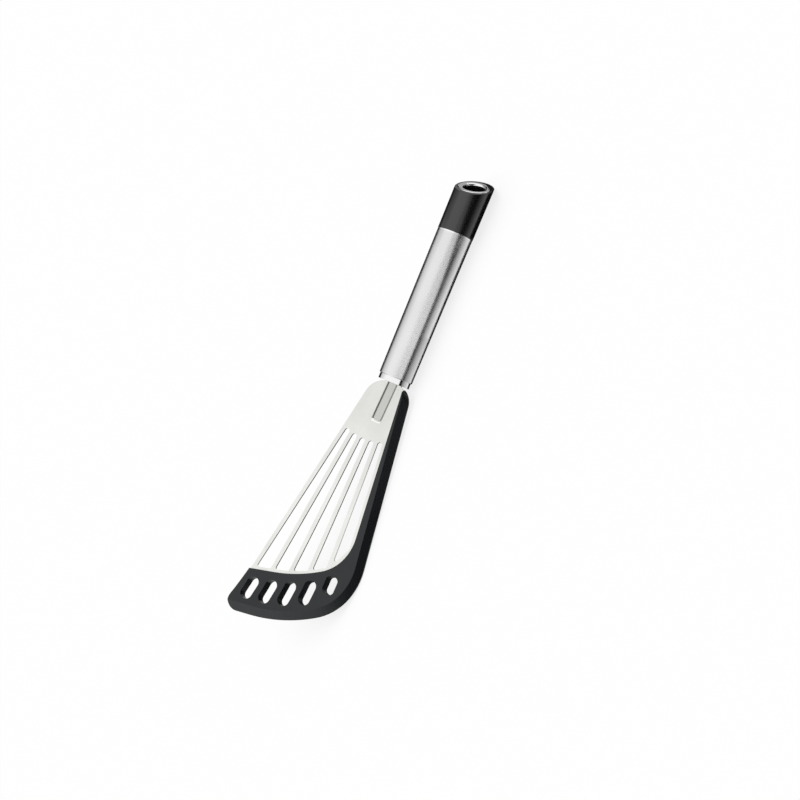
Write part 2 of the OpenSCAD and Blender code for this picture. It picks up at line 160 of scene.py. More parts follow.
def coordinates_in(tree: NodeTree, place: Matrix,
                   unit: Triple = (1.0, 1.0, 1.0)) -> NodeSocket:
    """Add the coordinates of one of the turner's frames.

    Args:
        tree: Node tree of the material.
        place: The frame in the part's frame, in millimetres.
        unit: What counts as 1 along each of the frame's axes, in millimetres.

    Returns:
        The coordinates.
    """
    coordinates = add_node(tree, "ShaderNodeTexCoord").outputs["Object"]
    return add_node(tree, "ShaderNodeMapping", {"Vector": coordinates}, {
        "Location": place.to_translation() * MM,
        "Rotation": place.to_euler("XYZ"),
        "Scale": Vector(unit) * MM,
    }, vector_type="TEXTURE").outputs[0]


def pattern(tree: NodeTree, place: Matrix, spacing: Triple,
            detail: float = 2.0) -> NodeSocket:
    """Add a noise pattern of a real size that lies in one of the turner's frames.

    Args:
        tree: Node tree of the material.
        place: The pattern's frame in the part's frame, in millimetres.
        spacing: Size of the pattern's grains along the frame's axes, in millimetres.
        detail: How much finer detail the noise carries.

    Returns:
        The noise, about 0 to 1 and 0.5 on average.
    """
    noise = add_node(tree, "ShaderNodeTexNoise",
                     {"Vector": coordinates_in(tree, place, spacing)},
                     {"Scale": 1.0, "Detail": detail})
    return noise.outputs[0]


def axes_in(tree: NodeTree, place: Matrix) -> Node:
    """Add the three distances along the axes of one of the turner's frames.

    Args:
        tree: Node tree of the material.
        place: The frame in the part's frame, in millimetres.

    Returns:
        The node that gives them, in millimetres.
    """
    return add_node(tree, "ShaderNodeSeparateXYZ", {0: coordinates_in(tree, place)})


def step_between(tree: NodeTree, source: NodeSocket,
                 none_at: float, all_at: float) -> NodeSocket:
    """Add a soft step from 0 to 1 between two values of a socket.

    Args:
        tree: Node tree of the material.
        source: The socket.
        none_at: Its value at and beyond which the step is 0.
        all_at: Its value at and beyond which the step is 1.

    Returns:
        The step.
    """
    return add_node(tree, "ShaderNodeMapRange", {"Value": source},
                    {"From Min": none_at, "From Max": all_at},
                    interpolation_type="SMOOTHSTEP").outputs[0]


def ranged(tree: NodeTree, source: NodeSocket,
           low: float, high: float) -> NodeSocket:
    """Spread a noise's middle part over a range.

    Args:
        tree: Node tree of the material.
        source: The noise.
        low: Value where the noise's middle part starts.
        high: Value where it ends.

    Returns:
        The value in that range.
    """
    node = add_node(tree, "ShaderNodeMapRange", {"Value": source}, {
        "From Min": NOISE_MIDDLE[0], "From Max": NOISE_MIDDLE[1],
        "To Min": low, "To Max": high,
    })
    return node.outputs[0]


def toned(tree: NodeTree, source: NodeSocket,
          dark: str, light: str) -> NodeSocket:
    """Mix two tones of a colour by a noise.

    Args:
        tree: Node tree of the material.
        source: The noise.
        dark: sRGB colour where the noise is low.
        light: sRGB colour where the noise is high.

    Returns:
        The mixed colour.
    """
    node = add_node(tree, "ShaderNodeMix", {0: ranged(tree, source, 0.0, 1.0)},
                    {MIX_FIRST: linear(dark), MIX_SECOND: linear(light)},
                    data_type="RGBA")
    return node.outputs[MIX_RESULT]


def with_painted_light(tree: NodeTree, colour: NodeSocket, tone: str,
             share: NodeSocket) -> NodeSocket:
    """Lay a painted highlight or painted shade over part of a colour.

    Args:
        tree: Node tree of the material.
        colour: The colour.
        tone: sRGB colour of the painted highlight or shade that is laid over it.
        share: How much of the tone shows at each place, 0 to 1.

    Returns:
        The colour with the tone.
    """
    node = add_node(tree, "ShaderNodeMix", {0: share, MIX_FIRST: colour},
                    {MIX_SECOND: linear(tone)}, data_type="RGBA")
    return node.outputs[MIX_RESULT]


def seen_directly(tree: NodeTree) -> NodeSocket:
    """Say 1 where the camera, a reflection or a transmission sees the surface.

    Args:
        tree: Node tree of the material or world.

    Returns:
        1 there, and 0 where the surface only gives light.
    """
    path = add_node(tree, "ShaderNodeLightPath")
    seen = path.outputs["Is Camera Ray"]
    for kind in ("Is Glossy Ray", "Is Transmission Ray"):
        seen = add_node(tree, "ShaderNodeMath", {0: seen, 1: path.outputs[kind]},
                        operation="MAXIMUM").outputs[0]
    return seen


def empty_material(name: str) -> Material:
    """Make a material that has no nodes yet.

    Args:
        name: Its name.

    Returns:
        The material.
    """
    made = bpy.data.materials.new(name)
    made.use_nodes = True
    made.node_tree.nodes.clear()
    return made


@dataclass(frozen=True)
class Finish:
    """A surface finish, which each kind of surface draws in its own way."""

    name: str
    slot: Slot
    dark: str
    light: str
    roughness: float
    bump_mm: float = 0.0
    gloss_change: float = 0.0

    def material(self) -> Material:
        """Make the material, or give the one that was made before.

        Returns:
            The material.
        """
        known = bpy.data.materials.get(self.name)
        if known:
            return known
        made = empty_material(self.name)
        shader = self.shader(made.node_tree)
        add_node(made.node_tree, "ShaderNodeOutputMaterial",
                 {"Surface": shader.outputs[0]})
        return made

    def shader(self, tree: NodeTree) -> Node:
        """Draw the surface; every finish has its own way."""
        raise NotImplementedError

    def grained(self, tree: NodeTree, colour: NodeSocket, grain: NodeSocket,
                values: dict[str | int, object]) -> Node:
        """Draw a surface whose grain stands out a little and breaks up its gloss.

        Args:
            tree: Node tree of the material.
            colour: Its colour.
            grain: Its grain.
            values: Values that are the same all over it.

        Returns:
            The shader's node.
        """
        bump = add_node(tree, "ShaderNodeBump", {"Height": grain},
                        {"Strength": 1.0, "Distance": self.bump_mm * MM})
        return add_node(tree, "ShaderNodeBsdfPrincipled", {
            "Base Color": colour,
            "Roughness": ranged(tree, grain, self.roughness - self.gloss_change,
                                self.roughness + self.gloss_change),
            "Normal": bump.outputs[0],
        }, values)


@dataclass(frozen=True)
class PaintedLightPatch:
    """Area of the blade painted with shade or a highlight, between two distances both ways.

    It fades out over the soft distance inside and outside each of its limits.
    """

    along: tuple[float, float]
    across: tuple[float, float]
    tone: str
    soft: float = 0.4

    def within(self, tree: NodeTree, source: NodeSocket,
               low: float, high: float) -> NodeSocket:
        """Say 1 between two values of a socket, with soft ends.

        Args:
            tree: Node tree of the material.
            source: The socket.
            low: The lower value.
            high: The higher value.

        Returns:
            1 between the two values and 0 outside them.
        """
        return add_node(tree, "ShaderNodeMath", {
            0: step_between(tree, source, low - self.soft, low + self.soft),
            1: step_between(tree, source, high + self.soft, high - self.soft),
        }, operation="MULTIPLY").outputs[0]

    def over(self, tree: NodeTree, colour: NodeSocket, axes: Node) -> NodeSocket:
        """Lay the patch over a colour.

        Args:
            tree: Node tree of the material.
            colour: The colour round it.
            axes: Node that gives the distances along the blade's axes.

        Returns:
            The colour with the patch.
        """
        inside = add_node(tree, "ShaderNodeMath", {
            0: self.within(tree, axes.outputs["X"], *self.along),
            1: self.within(tree, axes.outputs["Y"], *self.across),
        }, operation="MULTIPLY")
        return with_painted_light(tree, colour, self.tone, inside.outputs[0])


@dataclass(frozen=True)
class SatinSheet(Finish):
    """Stainless steel sheet, ground satin along the blade.

    The eye gets a pale, even sheen with a faint lengthwise grain. Real grinding lines lie
    about 0.1 mm apart, too fine for the picture, so they are drawn 0.6 mm apart. The
    pressed groove's floor and walls are painted darker, as painted shade, and its end
    lighter, as a painted highlight.
    """

    grain: Triple = (38.0, 0.6, 0.6)
    cloud: Triple = (30.0, 18.0, 18.0)
    bump_mm: float = 0.005
    gloss_change: float = 0.04
    # Painted shade on the groove's floor and its walls to the bare and the soft side, and a
    # painted highlight at its end
    painted_groove_light: tuple[PaintedLightPatch, ...] = (
        PaintedLightPatch((-5.0, 27.8), (-3.9, 3.9), "#C9CAC5"),
        PaintedLightPatch((-5.0, 27.8), (-4.2, -3.1), "#9A9B96"),
        PaintedLightPatch((-5.0, 27.8), (2.5, 4.2), "#B6B7B2"),
        PaintedLightPatch((27.9, 29.7), (-3.5, 3.5), "#FDFDFB"),
    )

    def shader(self, tree: NodeTree) -> Node:
        """Draw satin metal with a grain along the blade and slow clouds of tone.

        Args:
            tree: Node tree of the material.

        Returns:
            The shader's node.
        """
        colour = toned(tree, pattern(tree, REST.blade(), self.cloud), self.dark, self.light)
        axes = axes_in(tree, REST.blade())
        # Painted shade on the groove's floor and walls, and a painted highlight at its end
        for patch in self.painted_groove_light:
            colour = patch.over(tree, colour, axes)
        grain = pattern(tree, REST.blade(), self.grain)
        return self.grained(tree, colour, grain, {"Metallic": 1.0})


@dataclass(frozen=True)
class BrushedTube(Finish):
    """Stainless steel tube, brushed round and round on a lathe.

    The eye gets a satin that keeps long reflections along the tube, and a painted highlight
    along its lip at the cap. The lines lie about 0.1 mm apart on the real tube and are
    drawn
    0.7 mm apart.
    """

    grain: Triple = (0.7, 25.0, 25.0)
    cloud: Triple = (40.0, 14.0, 14.0)
    bump_mm: float = 0.0004
    gloss_change: float = 0.02
    # Painted highlight on the lip at the cap: this lighter colour, fading in between the
    # two distances along the tube
    painted_lip_highlight: str = "#FBFBFB"
    lip: tuple[float, float] = (110.6, 111.0)

    def shader(self, tree: NodeTree) -> Node:
        """Draw satin metal with a grain round the tube and slow clouds of tone.

        Args:
            tree: Node tree of the material.

        Returns:
            The shader's node.
        """
        grain = pattern(tree, REST.neck(), self.grain)
        brushed = toned(tree, pattern(tree, REST.neck(), self.cloud), self.dark, self.light)
        # Painted highlight on the lip at the cap
        at_lip_highlight = step_between(tree, axes_in(tree, REST.neck()).outputs["X"], *self.lip)
        return self.grained(tree, with_painted_light(tree, brushed, self.painted_lip_highlight, at_lip_highlight), grain,
                            {"Metallic": 1.0})


@dataclass(frozen=True)
class PolishedSteel(Finish):
    """Buffed stainless steel.

    The eye gets a bright mirror, slightly broken by fine wiping marks in every
    direction. They are about 0.05 mm wide on real steel and are drawn 0.5 mm wide.
    """

    marks: Triple = (0.5, 3.0, 3.0)
    gloss_loss: float = 0.06

    def shader(self, tree: NodeTree) -> Node:
        """Draw mirror metal whose gloss varies with the wiping marks.

        Args:
            tree: Node tree of the material.

        Returns:
            The shader's node.
        """
        marks = pattern(tree, REST.neck(), self.marks)
        return add_node(tree, "ShaderNodeBsdfPrincipled", {
            "Base Color": toned(tree, marks, self.dark, self.light),
            "Roughness": ranged(tree, marks, self.roughness,
                                self.roughness + self.gloss_loss),
        }, {"Metallic": 1.0})


@dataclass(frozen=True)
class MouldedSurface(Finish):
    """A moulded plastic or rubber with the fine matt grain of its mould.

    The eye gets a dark body with a soft sheen on the edges. The mould's spark-eroded
    grain is about 0.1 mm and is drawn 0.6 mm wide, so that it still shows.
    """

    ior: float = 1.46
    sheen_level: float = 0.5
    grain: Triple = (0.6, 0.6, 0.6)
    cloud: Triple = (16.0, 16.0, 16.0)
    grain_detail: float = 3.0
    bump_mm: float = 0.01
    gloss_change: float = 0.05

    def shader(self, tree: NodeTree) -> Node:
        """Draw a dark body with a grained sheen and slow clouds of tone.

        Args:
            tree: Node tree of the material.

        Returns:
            The shader's node.
        """
        grain = pattern(tree, REST.neck(), self.grain, self.grain_detail)
        cloud = pattern(tree, REST.neck(), self.cloud)
        return self.grained(tree, toned(tree, cloud, self.dark, self.light), grain,
                            {"IOR": self.ior, "Specular IOR Level": self.sheen_level})


# 1.4301 stainless sheet, ground satin: pale and slightly warm
BLADE_FINISH = SatinSheet("satin_ground_stainless_sheet", Slot.SHEET,
                          "#DBDCD7", "#E5E6E2", 0.32)
# Stainless tube, lathe brushed: pale and neutral
TUBE_FINISH = BrushedTube("lathe_brushed_stainless_tube", Slot.TUBE,
                          "#E2E2E2", "#E9E9E9", 0.27)
# Stainless steel, buffed: a bright mirror
POLISHED_FINISH = PolishedSteel("buffed_stainless_steel", Slot.POLISHED,
                                "#EFEFEF", "#F6F6F6", 0.08)
# Silicone, moulded against a matt mould: dark slate grey with a dull sheen
SILICONE_FINISH = MouldedSurface("moulded_matt_silicone", Slot.SOFT,
                                 "#0C0F12", "#101417", 0.38, ior=1.41, sheen_level=0.64)
# Glass-filled nylon of the cap, moulded in a fine satin mould: black with a soft gloss
CAP_FINISH = MouldedSurface("moulded_black_nylon", Slot.CAP,
                            "#080808", "#0D0D0D", 0.26, ior=1.49, sheen_level=1.0,
                            bump_mm=0.004)
# Glass-filled nylon of the hidden core: dull grey-green
CORE_FINISH = MouldedSurface("moulded_grey_nylon", Slot.CORE,
                             "#2E3D3B", "#384A47", 0.6, ior=1.53)
# Nitrile rubber of the sealing rings: matt black
SEAL_FINISH = MouldedSurface("moulded_nitrile_rubber", Slot.SEAL,
                             "#1F1F1F", "#272727", 0.65, ior=1.52)


def merged_copy(node: str) -> BMesh:
    """Copy a CAD node's mesh with its loose triangles joined into whole faces.

    Args:
        node: Name of the CAD node.

    Returns:
        The copy, in millimetres in the neck's frame.
    """
    copy = bmesh.new()
    copy.from_mesh(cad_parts[node].data)
    copy.transform(REST.placed().inverted())
    bmesh.ops.remove_doubles(copy, verts=copy.verts, dist=CAD_WELD)
    bmesh.ops.dissolve_limit(copy, angle_limit=math.radians(CAD_FLAT),
                             verts=copy.verts, edges=copy.edges)
    bmesh.ops.recalc_face_normals(copy, faces=copy.faces)
    return copy


def lathed(corners: Sequence[tuple[float, float]]) -> BMesh:
    """Spin a profile about the handle's axis.

    Args:
        corners: Distance along the axis and radius of each corner, in order round the
            closed profile.

    Returns:
        The closed shape, in millimetres in the neck's frame.
    """
    shape = bmesh.new()
    ring = [shape.verts.new((x, 0.0, r)) for x, r in corners]
    edges = [shape.edges.new((ring[i - 1], ring[i])) for i in range(len(ring))]
    bmesh.ops.spin(shape, geom=ring + edges, cent=(0, 0, 0), axis=(1, 0, 0),
                   angle=math.tau, steps=LATHE_STEPS, use_merge=True)
    bmesh.ops.remove_doubles(shape, verts=shape.verts, dist=WELD)
    bmesh.ops.recalc_face_normals(shape, faces=shape.faces)
    return shape


def mesh_object(shape: BMesh, name: str) -> Object:
    """Turn a shape into an object of the scene.

    Args:
        shape: The shape. It is freed.
        name: Name of the object and its mesh.

    Returns:
        The object.
    """
    mesh = bpy.data.meshes.new(name)
    shape.to_mesh(mesh)
    shape.free()
    made = bpy.data.objects.new(name, mesh)
    bpy.context.scene.collection.objects.link(made)
    return made


def carved(shape: BMesh, tool: BMesh) -> BMesh:
    """Cut one shape out of another.

    Args:
        shape: The shape that is cut. It is freed.
        tool: The shape that is taken away. It is freed.

    Returns:
        The cut shape.
    """
    body, cutter = mesh_object(shape, "carved"), mesh_object(tool, "carving")
    cut = body.modifiers.new("cut", "BOOLEAN")
    cut.operation = "DIFFERENCE"
    cut.solver = "EXACT"
    cut.object = cutter
    graph = bpy.context.evaluated_depsgraph_get()
    cut_mesh = bpy.data.meshes.new_from_object(body.evaluated_get(graph))
    result = bmesh.new()
    result.from_mesh(cut_mesh)
    for mesh in (body.data, cutter.data, cut_mesh):
        bpy.data.meshes.remove(mesh)
    return result


@dataclass(frozen=True)
class Rounding:
    """How sharp edges are rounded: how wide, in how many steps, from what corner on."""

    width: float
    steps: int
    corner: float = 45.0


def soften(shape: BMesh, rounding: Rounding,
           chosen: Callable[[BMEdge], bool] = lambda edge: True) -> None:
    """Round the sharp edges that a rule chooses.

    Args:
        shape: The shape whose edges are rounded.
        rounding: How they are rounded.
        chosen: Rule that says of a sharp edge whether it is rounded.
    """
    corner = math.radians(rounding.corner)
    edges = [e for e in shape.edges
             if e.is_manifold and e.calc_face_angle(0.0) > corner and chosen(e)]
    bmesh.ops.bevel(shape, geom=edges, offset=rounding.width, offset_type="OFFSET",
                    segments=rounding.steps, profile=0.5, affect="EDGES",
                    clamp_overlap=True, material=-1)


def on_circle(edge: BMEdge, along: float, radius: float) -> bool:
    """Say whether an edge is part of a circle about the x axis.

    Args:
        edge: The edge.
        along: The circle's place on the axis.
        radius: Its radius.

    Returns:
        Whether both ends of the edge lie on the circle.
    """
    return all(abs(v.co.x - along) < NEAR and abs(v.co.yz.length - radius) < NEAR
               for v in edge.verts)


def dressed(shape: BMesh, name: str, finish: Finish, *nodes: str) -> Object:
    """Lay a finished shape in the part's frame and let it stand for its CAD nodes.

    Args:
        shape: The shape, in millimetres in the neck's frame. It is freed.
        name: Name of the piece.
        finish: Its surface finish.
        *nodes: CAD nodes that it stands for.

    Returns:
        The piece.
    """
    shape.transform(REST.placed())
    piece = mesh_object(shape, name)
    piece.data.shade_smooth()
    piece.data.set_sharp_from_angle(angle=math.radians(SHADED_SHARP))
    piece.data.materials.append(finish.material())
    weighted = piece.modifiers.new("weighted_normals", "WEIGHTED_NORMAL")
    weighted.keep_sharp = True
    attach(piece, "root")
    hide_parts(*nodes)
    return piece


def repainted(node: str, finish: Finish) -> Object:
    """Give a CAD node that stays its finish.

    Args:
        node: Name of the CAD node.
        finish: Its surface finish.

    Returns:
        The node's object.
    """
    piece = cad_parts[node]
    for slot in piece.material_slots:
        slot.material = finish.material()
    return piece


def joined_faces(start: BMFace, allowed: set[BMFace]) -> set[BMFace]:
    """Collect the faces that join a face edge to edge.

    Args:
        start: The face to start from.
        allowed: Faces that may be collected.

    Returns:
        The start and every allowed face joined to it.
    """
    found, open_faces = {start}, [start]
    while open_faces:
        for edge in open_faces.pop().edges:
            for face in edge.link_faces:
                if face in allowed and face not in found:
                    found.add(face)
                    open_faces.append(face)
    return found


@dataclass
class Blade:
    """Pressed steel fan and the silicone moulded round its front and one side.

    Places on it are in the blade's frame: x to the front, y to the soft side.
    """

    groove_start: float = 2.4
    groove_reach: float = 31.0
    groove_half_w: float = 6.0
    groove_run_up: float = 2.15
    groove_turn: float = 25.0
    groove_square: float = 4.5
    groove_floor_n: float = -0.3
    groove_lean: float = 0.6
    groove_full_lean_at: float = 2.0
    groove_round: Rounding = Rounding(0.55, 4, corner=20.0)
    sheet_round: Rounding = Rounding(0.34, 3, corner=50.0)
    silicone_round: Rounding = Rounding(0.5, 3, corner=25.0)
    hole_draft: float = 0.3
    hole_flare: float = 1.35
    hole_round: Rounding = Rounding(0.6, 5, corner=25.0)
    longest_hole: float = 40.0
    last_hole_share: float = 0.755
    last_hole_shift: float = 0.9

    def in_blade(self, point: Vector) -> Vector:
        """Carry a point from the neck's frame to the blade's frame."""
        return REST.blade().inverted() @ REST.neck() @ point

    def from_blade(self, way: Triple) -> Vector:
        """Turn a direction of the blade's frame to the neck's frame."""
        return (REST.neck().inverted() @ REST.blade()).to_3x3() @ Vector(way)

    def near_groove(self, edge: BMEdge) -> bool:
        """Say whether an edge belongs to the stiffening groove.

        Args:
            edge: The edge, in the neck's frame.

        Returns:
            Whether it lies in the groove's area, and not at its upper end.
        """
        ends = [self.in_blade(v.co) for v in edge.verts]
        return (all(0.0 < p.x < self.groove_reach and abs(p.y) < self.groove_half_w
                    for p in ends) and any(p.x > self.groove_start for p in ends))

    def run_groove_up(self, shape: BMesh) -> None:
        """Run the groove's upper end right up to the collar.

        Args:
            shape: The sheet.
        """
        wall = [v for v in shape.verts
                if abs(self.in_blade(v.co).x - self.groove_start) < CAD_NEAR
                and abs(self.in_blade(v.co).y) < self.groove_half_w]
        bmesh.ops.translate(shape, vec=self.from_blade((-self.groove_run_up, 0, 0)),
                            verts=wall)

    def press_groove(self, shape: BMesh) -> None:
        """Square the groove's rounded end and steepen its wall towards the bare side.

        The end's circles become superellipses about the point where they start.

        Args:
            shape: The sheet.
        """
        across = self.from_blade((0, 1, 0))
        for v in shape.verts:
            place = self.in_blade(v.co)
            if (not 0.0 < place.x < self.groove_reach or abs(place.y) > self.groove_half_w
                    or abs(place.y) < NEAR and place.x < self.groove_turn):
                continue
            if abs(place.z - self.groove_floor_n) < CAD_NEAR and place.y < 0.0:
                share = min(1.0, -place.y / self.groove_full_lean_at)
                v.co -= across * self.groove_lean * share
            out = Vector((place.x - self.groove_turn, place.y))
            if out.x > NEAR:
                square = sum((abs(c) / out.length) ** self.groove_square for c in out)
                grown = out * (square ** (-1 / self.groove_square) - 1)
                v.co += self.from_blade((grown.x, grown.y, 0))

    def hole_walls(self, shape: BMesh) -> list[set[BMFace]]:
        """Find the upright wall of each hole, from the bare side to the soft side.

        Args:
            shape: The soft edge.

        Returns:
            The faces of each hole's wall.
        """
        up = self.from_blade((0, 0, 1))
        upright = {f for f in shape.faces if abs(f.normal.dot(up)) < WALL_UP}
        walls = []
        while upright:
            wall = joined_faces(upright.pop(), upright)
            upright -= wall
            reach = [self.in_blade(v.co).x for f in wall for v in f.verts]
            if max(reach) - min(reach) < self.longest_hole:
                walls.append(wall)
        return sorted(walls, key=lambda wall: max(
            self.in_blade(v.co).y for f in wall for v in f.verts))

    def rim_step(self, corner: BMVert, wall: set[BMFace], shortening: Vector) -> Vector:
        """Work out how far a corner of a hole moves, along the face round the hole.

        Args:
            corner: The corner.
            wall: Faces of the hole's wall.
            shortening: What the corner moves where its hole gets shorter.

        Returns:
            The move: the draft at the bottom or the flare at the top, and the shortening.
        """
        up, across = self.from_blade((0, 0, 1)), self.from_blade((0, 1, 0))
        beside = next(f.normal for f in corner.link_faces if f not in wall)
        inwards = sum((f.normal for f in corner.link_faces if f in wall), Vector())
        inwards.normalize()
        if beside.dot(up) < 0.0:
            step = inwards * self.hole_draft
        else:
            step = -across * self.hole_flare * max(0.0, inwards.dot(across))
        step += shortening
        return step - up * step.dot(beside) / up.dot(beside)

    def shape_holes(self, shape: BMesh) -> set[BMEdge]:
        """Flare the holes towards the bare side, and shorten the one by the soft side.

        Args:
            shape: The soft edge, whose holes still have upright walls.

        Returns:
            The edges of the holes' upper rims.
        """
        up, along = self.from_blade((0, 0, 1)), self.from_blade((1, 0, 0))
        walls = self.hole_walls(shape)
        for wall in walls:
            reach = {v: self.in_blade(v.co).x for f in wall for v in f.verts}
            back = min(reach.values())
            moves = {}
            for v, x in reach.items():
                shortening = Vector()
                if wall is walls[-1]:
                    shortening = along * (self.last_hole_shift
                                          - (x - back) * (1.0 - self.last_hole_share))
                moves[v] = self.rim_step(v, wall, shortening)
            for v, step in moves.items():
                v.co += step
        inside = set().union(*walls)
        return {e for f in inside for e in f.edges
                if any(g not in inside and g.normal.dot(up) > TOP_UP
                       for g in e.link_faces)}

    def build_sheet(self) -> Object:
        """Make the fan: pressed groove with soft edges, cut edges barely broken.

        Returns:
            The piece.
        """
        shape = merged_copy("blade")
        self.run_groove_up(shape)
        self.press_groove(shape)
        soften(shape, self.groove_round, self.near_groove)
        soften(shape, self.sheet_round, lambda e: not self.near_groove(e))
        return dressed(shape, "fan_sheet", BLADE_FINISH, "blade")

    def build_silicone(self) -> Object:
        """Make the soft edge with the rounded rims that a mould leaves.

        Returns:
            The piece.
        """
        shape = merged_copy("soft_edge")
        rims = self.shape_holes(shape)
        soften(shape, self.hole_round, lambda e: e in rims)
        soften(shape, self.silicone_round)
        return dressed(shape, "moulded_edge", SILICONE_FINISH, "soft_edge")

    def build(self) -> list[Object]:
        """Make the blade's two pieces, and give them."""
        return [self.build_sheet(), self.build_silicone()]


@dataclass
class Grip:
    """Round tube with its neck collar, and the core that holds the tang inside."""

    tube_start: float = 4.0
    tube_end: float = 112.0
    neck_r: float = 12.1
    cap_end_r: float = 12.8
    wall: float = 0.8
    lip_round: Rounding = Rounding(0.39, 4)
    collar_round: Rounding = Rounding(0.3, 3)

    def build_tube(self) -> Object:
        """Make the tube with rolled lips at both ends.

        Returns:
            The piece.
        """
        shape = lathed([
            (self.tube_start, self.neck_r), (self.tube_end, self.cap_end_r),
            (self.tube_end, self.cap_end_r - self.wall),
            (self.tube_start, self.neck_r - self.wall),
        ])
        soften(shape, self.lip_round)
        return dressed(shape, "brushed_tube", TUBE_FINISH, "handle_tube")

    def build_collar(self) -> Object:
        """Make the collar with its rounded rims.

        Returns:
            The piece.
        """
        shape = merged_copy("neck_collar")
        soften(shape, self.collar_round)
        return dressed(shape, "polished_collar", POLISHED_FINISH, "neck_collar")

    def build(self) -> list[Object]:
        """Make the tube and collar, and paint what they hold.

        Returns:
            The pieces.
        """
        return [self.build_tube(), self.build_collar(),
                repainted("neck_seal", SEAL_FINISH),
                repainted("handle_core", CORE_FINISH),
                repainted("core_pins", POLISHED_FINISH)]


@dataclass
class HangingEnd:
    """Moulded cap with its slanted end, and the ring round the hanging eye."""

    face_x: float = 146.8
    slant: float = 30.0
    body_start: float = 112.0
    seam_r: float = 12.95
    end_r: float = 13.25
    spigot_start: float = 94.0
    spigot_r: float = 11.78
    spigot_bore_r: float = 7.0
    rim_round: Rounding = Rounding(1.1, 6, corner=15.0)
    seat_r: float = 11.9
    seat_depth: float = 2.13
    hollow_r: float = 8.55
    hollow_depth: float = 7.5
    way_out_r: float = 6.5
    way_out_back: float = 10.3
    ring_r: float = 11.85
    eye_r: float = 8.05
    ring_t: float = 2.4
    ring_proud: float = 0.3
    lip_round: Rounding = Rounding(1.6, 8)
    ring_round: Rounding = Rounding(0.8, 5)
    foot_round: Rounding = Rounding(0.15, 2)

    def slant_frame(self) -> Matrix:
        """Give the frame on the slanted face, z out of it, in the neck's frame."""
        return (Matrix.Translation((self.face_x, 0, 0))
                @ Matrix.Rotation(math.radians(90 - self.slant), 4, "Y"))

    def build_cap(self) -> Object:
        """Make the cap: lathed body, slanted face, ring seat, hollow and way out.

        Returns:
            The piece.
        """
        shape = lathed([
            (self.spigot_start, self.spigot_bore_r), (self.spigot_start, self.spigot_r),
            (self.body_start, self.spigot_r), (self.body_start, self.seam_r),
            (self.face_x, self.end_r), (self.face_x + self.end_r, self.end_r),
            (self.face_x + self.end_r, 0.0), (self.body_start, 0.0),
            (self.body_start, self.spigot_bore_r),
        ])
        slant = self.slant_frame()
        cut = bmesh.ops.bisect_plane(
            shape, geom=shape.verts[:] + shape.edges[:] + shape.faces[:], dist=WELD / 2,
            plane_co=slant.translation, plane_no=slant.to_3x3() @ Vector((0, 0, 1)),
            clear_outer=True)
        rim = [g for g in cut["geom_cut"] if isinstance(g, BMEdge)]
        seat = bmesh.ops.create_circle(shape, cap_ends=False, radius=self.seat_r,
                                       segments=LATHE_STEPS, matrix=slant)
        loop = {e for v in seat["verts"] for e in v.link_edges}
        bmesh.ops.bridge_loops(shape, edges=rim + list(loop))
        self.step_in(shape, list(loop), slant)
        bmesh.ops.recalc_face_normals(shape, faces=shape.faces)
        soften(shape, self.rim_round, self.on_rim)
        soften(shape, self.foot_round, lambda e: on_circle(e, self.body_start, self.seam_r))
        shape = carved(shape, self.way_out())
        return dressed(shape, "moulded_cap", CAP_FINISH, "end_cap")

    def way_out(self) -> BMesh:
        """Make the round bar that the hollow's way out is cut with.

        Returns:
            The bar, upright at the back of the cap.
        """
        bar = bmesh.new()
        bmesh.ops.create_cone(
            bar, cap_ends=True, segments=LATHE_STEPS // 2, radius1=self.way_out_r,
            radius2=self.way_out_r, depth=2 * self.end_r,
            matrix=Matrix.Translation((self.face_x - self.way_out_back, 0,
                                       self.way_out_r / 2 - self.end_r)))
        return bar

    def step_in(self, shape: BMesh, loop: list[BMEdge], slant: Matrix) -> None:
        """Sink the ring's seat and the hollow behind it into the slanted face.

        Args:
            shape: The cap.
            loop: Edge of the seat on the slanted face.
            slant: Frame on the slanted face.
        """
        share = self.hollow_r / self.seat_r
        down = slant.to_3x3() @ Vector((0, 0, -1))
        drops = [(1.0, self.seat_depth), (share, 0.0),
                 (1.0, self.hollow_depth - self.seat_depth)]
        for scale, drop in drops:
            grown = bmesh.ops.extrude_edge_only(shape, edges=loop)["geom"]
            verts = [g for g in grown if isinstance(g, BMVert)]
            loop = [g for g in grown if isinstance(g, BMEdge)]
            loop = [e for e in loop if all(v in verts for v in e.verts)]
            bmesh.ops.scale(shape, vec=(scale, scale, 1.0), space=slant.inverted(),
                            verts=verts)
            bmesh.ops.translate(shape, vec=down * drop, verts=verts)
        bmesh.ops.contextual_create(shape, geom=loop)

    def on_rim(self, edge: BMEdge) -> bool:
        """Say whether an edge is the cap's outer rim on the slanted face."""
        ends = [self.slant_frame().inverted() @ v.co for v in edge.verts]
        return all(abs(p.z) < NEAR and p.to_2d().length > self.seat_r + NEAR for p in ends)

    def build_ring(self) -> Object:
        """Make the ring with a broad rounded lip round the eye.

        Returns:
            The piece.
        """
        low, high = self.ring_proud - self.ring_t, self.ring_proud
        shape = lathed([(low, self.eye_r), (low, self.ring_r), (high, self.ring_r),
                        (high, self.eye_r)])
        soften(shape, self.ring_round, lambda e: on_circle(e, high, self.ring_r))
        soften(shape, self.lip_round, lambda e: on_circle(e, high, self.eye_r))
        soften(shape, self.foot_round,
               lambda e: on_circle(e, low, self.ring_r) or on_circle(e, low, self.eye_r))
        shape.transform(self.slant_frame() @ Matrix.Rotation(math.radians(-90), 4, "Y"))
        return dressed(shape, "eye_ring", POLISHED_FINISH, "hanging_ring")

    def build(self) -> list[Object]:
        """Make the cap and its ring, paint the seal inside, and give all three."""
        return [self.build_cap(), self.build_ring(), repainted("cap_seal", SEAL_FINISH)]


